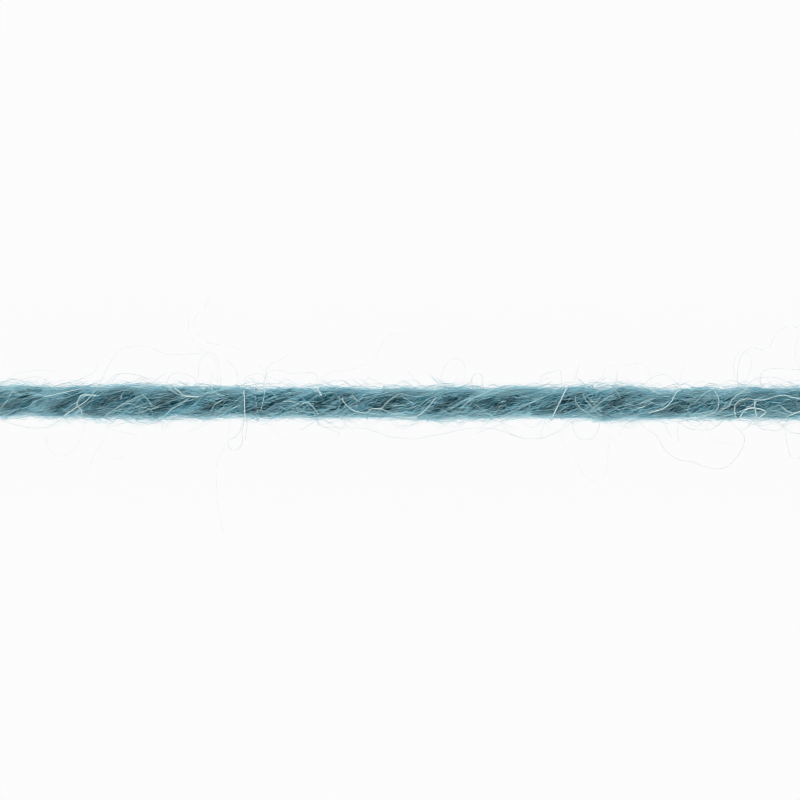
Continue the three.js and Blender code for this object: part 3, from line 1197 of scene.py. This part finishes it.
def make_body_hairs(rings=26):
    """The photograph's notable hairs that lie over the yarn. The palest have no blue."""
    over_dense_hairs = 0.2 * MM
    lie_at_radius = 1.6 * MM
    blue_in_dark_hairs = 7
    paths = []
    for hair in HAIRS_ON_THE_BODY:
        flat = smooth_path(from_photo(hair.points), rings)
        over = top_of_yarn(flat[:, 0], flat[:, 1]) + over_dense_hairs
        rise = np.sqrt(np.maximum(lie_at_radius**2 - flat[:, 1] ** 2, 0))
        over = np.maximum(over, middle_of_yarn(flat[:, 0]) + rise)
        height = np.maximum(over, smoothed(over))
        paths.append(np.column_stack([flat, height]))
    radius = all_along([hair.thickness * MM / 2 for hair in HAIRS_ON_THE_BODY], rings)
    tone = all_along([hair.tone for hair in HAIRS_ON_THE_BODY], rings)
    cast = np.clip(blue_in_dark_hairs * (1 - tone), 0, 1)
    wool = "undyed wool hair"
    return hair_piece("hairs_over_the_body", np.array(paths), radius, tone, cast, wool)


def make_flyaways(rings=44):
    """The photograph's hairs that stand well off the yarn."""
    sunk = 0.9
    rng = np.random.default_rng(43)
    paths = []
    for hair in FLYAWAYS:
        flat = smooth_path(from_photo(hair.points), rings)
        height = np.linspace(*hair.heights, rings) * MM
        over = top_of_yarn(flat[:, 0], flat[:, 1])
        height = smoothed(np.where(over > 0, np.maximum(height, over * sunk), height))
        paths.append(np.column_stack([flat, height]))
    radius = all_along([hair.thickness * MM / 2 for hair in FLYAWAYS], rings)
    tone = np.full(radius.shape, FLYAWAY_TONE)
    cast = all_along(rng.uniform(0.0, 0.5, len(paths)), rings)
    wool = "undyed wool hair"
    return hair_piece("flyaway_hairs", np.array(paths), radius, tone, cast, wool)


def make_light_table(stage):
    """The glowing table that the yarn lies on."""
    half = 3.0
    reflects = 0.04
    mesh = bpy.data.meshes.new("light_table")
    corners = [(-half, -half, 0), (half, -half, 0), (half, half, 0), (-half, half, 0)]
    mesh.from_pydata(corners, [], [(0, 1, 2, 3)])
    table = bpy.data.objects.new("light_table", mesh)
    bpy.context.scene.collection.objects.link(table)
    material, nodes, _ = plain_material("light table glass")
    shader = nodes["Principled BSDF"]
    shader.inputs["Base Color"].default_value = (reflects, reflects, reflects, 1)
    shader.inputs["Roughness"].default_value = 0.9
    shader.inputs["Specular IOR Level"].default_value = 0.0
    shader.inputs["Emission Color"].default_value = (1, 1, 1, 1)
    shader.inputs["Emission Strength"].default_value = stage.table_glow
    mesh.materials.append(material)


def make_studio(stage):
    """White light from low down on the two long sides of the yarn, little from above.
    The camera sees the studio plain white. Heights are 0 at the horizon and 1 straight
    above."""
    full_below = 0.05
    gone_above = 0.5
    world = bpy.data.worlds.new("studio")
    bpy.context.scene.world = world
    world.use_nodes = True
    nodes = world.node_tree.nodes
    links = world.node_tree.links
    direction = nodes.new("ShaderNodeTexCoord")
    split = nodes.new("ShaderNodeSeparateXYZ")
    low_down = nodes.new("ShaderNodeMapRange")
    low_down.inputs["From Min"].default_value = full_below
    low_down.inputs["From Max"].default_value = gone_above
    low_down.inputs["To Min"].default_value = stage.light_from_sides
    low_down.inputs["To Max"].default_value = 0.0
    sideways = nodes.new("ShaderNodeMath")
    sideways.operation = "MULTIPLY_ADD"
    sideways.inputs[2].default_value = stage.light_on_ends
    beside = nodes.new("ShaderNodeMath")
    beside.operation = "MULTIPLY_ADD"
    beside.inputs[2].default_value = stage.light_overhead
    links.new(direction.outputs["Generated"], split.inputs[0])
    links.new(split.outputs["Z"], low_down.inputs["Value"])
    links.new(split.outputs["Y"], sideways.inputs[0])
    links.new(split.outputs["Y"], sideways.inputs[1])
    links.new(sideways.outputs[0], beside.inputs[0])
    links.new(low_down.outputs["Result"], beside.inputs[1])
    looker = nodes.new("ShaderNodeLightPath")
    seen = nodes.new("ShaderNodeMix")
    seen.inputs["B"].default_value = 1.0
    links.new(looker.outputs["Is Camera Ray"], seen.inputs["Factor"])
    links.new(beside.outputs[0], seen.inputs["A"])
    links.new(seen.outputs["Result"], nodes["Background"].inputs["Strength"])
    nodes["Background"].inputs["Color"].default_value = (1, 1, 1, 1)


def make_camera(stage):
    """A camera that looks straight down on the yarn, and how its light is gathered."""
    scene = bpy.context.scene
    lens = bpy.data.cameras.new("camera")
    lens.sensor_width = 36
    lens.lens = lens.sensor_width * stage.camera_height / stage.view_width
    lens.clip_start = 0.01
    camera = bpy.data.objects.new("camera", lens)
    scene.collection.objects.link(camera)
    camera.location = (0, stage.camera_aim, stage.camera_height + YARN_RADIUS)
    scene.camera = camera
    scene.view_settings.view_transform = "Standard"
    scene.cycles.use_denoising = True
    scene.cycles.max_bounces = 14
    scene.cycles.diffuse_bounces = 12
    scene.cycles.transmission_bounces = 12
    scene.cycles.filter_width = 1.0


# Operators


class YARN_OT_stage(bpy.types.Operator):
    """Add the camera, the studio's light and the light table"""

    bl_idname = "yarn.stage"
    bl_label = "Stage"

    def execute(self, context):
        stage = context.scene.yarn_stage
        make_camera(stage)
        make_studio(stage)
        make_light_table(stage)
        return {"FINISHED"}


class YARN_OT_cores(bpy.types.Operator):
    bl_idname = "yarn.cores"
    bl_label = "Ply cores"

    def execute(self, context):
        make_cores(context.scene.yarn_looks)
        return {"FINISHED"}


class YARN_OT_laid_hairs(bpy.types.Operator):
    """Lay the hairs of each ply along its twist, with their cut ends"""

    bl_idname = "yarn.laid_hairs"
    bl_label = "Laid hairs"

    def execute(self, context):
        looks = context.scene.yarn_looks
        for ply in range(PLIES):
            make_laid_hairs(ply, looks)
        make_end_tufts(looks)
        return {"FINISHED"}


class YARN_OT_fuzz(bpy.types.Operator):
    """Add the fine hairs that stand off the yarn"""

    bl_idname = "yarn.fuzz"
    bl_label = "Fuzz"

    def execute(self, context):
        looks = context.scene.yarn_looks
        make_halo(looks)
        make_fuzz(CROSSING, looks.crossing_hairs, looks.crossing_thickness)
        make_fuzz(WIDE, looks.fuzz_hairs, looks.fuzz_thickness)
        return {"FINISHED"}


class YARN_OT_single_hairs(bpy.types.Operator):
    """Add the photograph's notable single hairs"""

    bl_idname = "yarn.single_hairs"
    bl_label = "Single hairs"

    def execute(self, context):
        make_body_hairs()
        make_flyaways()
        return {"FINISHED"}


# The steps in the order in which they build the yarn.
STEPS = [
    YARN_OT_stage,
    YARN_OT_cores,
    YARN_OT_laid_hairs,
    YARN_OT_fuzz,
    YARN_OT_single_hairs,
]


class YARN_PT_panel(bpy.types.Panel):
    """The yarn's settings and the steps that build it"""

    bl_label = "Knitting yarn"
    bl_space_type = "VIEW_3D"
    bl_region_type = "UI"
    bl_category = "Yarn"

    def draw(self, context):
        for step in STEPS:
            self.layout.operator(step.bl_idname)
        for group in (context.scene.yarn_looks, context.scene.yarn_stage):
            box = self.layout.box()
            for name in group.__annotations__:
                box.prop(group, name)


CLASSES = [YarnLooks, YarnStage, *STEPS, YARN_PT_panel]


def register():
    """Adds the settings, the steps and the panel, and gives each scene its settings."""
    for each in CLASSES:
        bpy.utils.register_class(each)
    bpy.types.Scene.yarn_looks = PointerProperty(type=YarnLooks)
    bpy.types.Scene.yarn_stage = PointerProperty(type=YarnStage)


def unregister():
    """Takes away what register added."""
    del bpy.types.Scene.yarn_stage
    del bpy.types.Scene.yarn_looks
    for each in reversed(CLASSES):
        bpy.utils.unregister_class(each)


def main():
    """Builds the yarn on its stage."""
    register()
    bpy.ops.yarn.stage()
    bpy.ops.yarn.cores()
    bpy.ops.yarn.laid_hairs()
    bpy.ops.yarn.fuzz()
    bpy.ops.yarn.single_hairs()


if __name__ == "__main__":
    main()
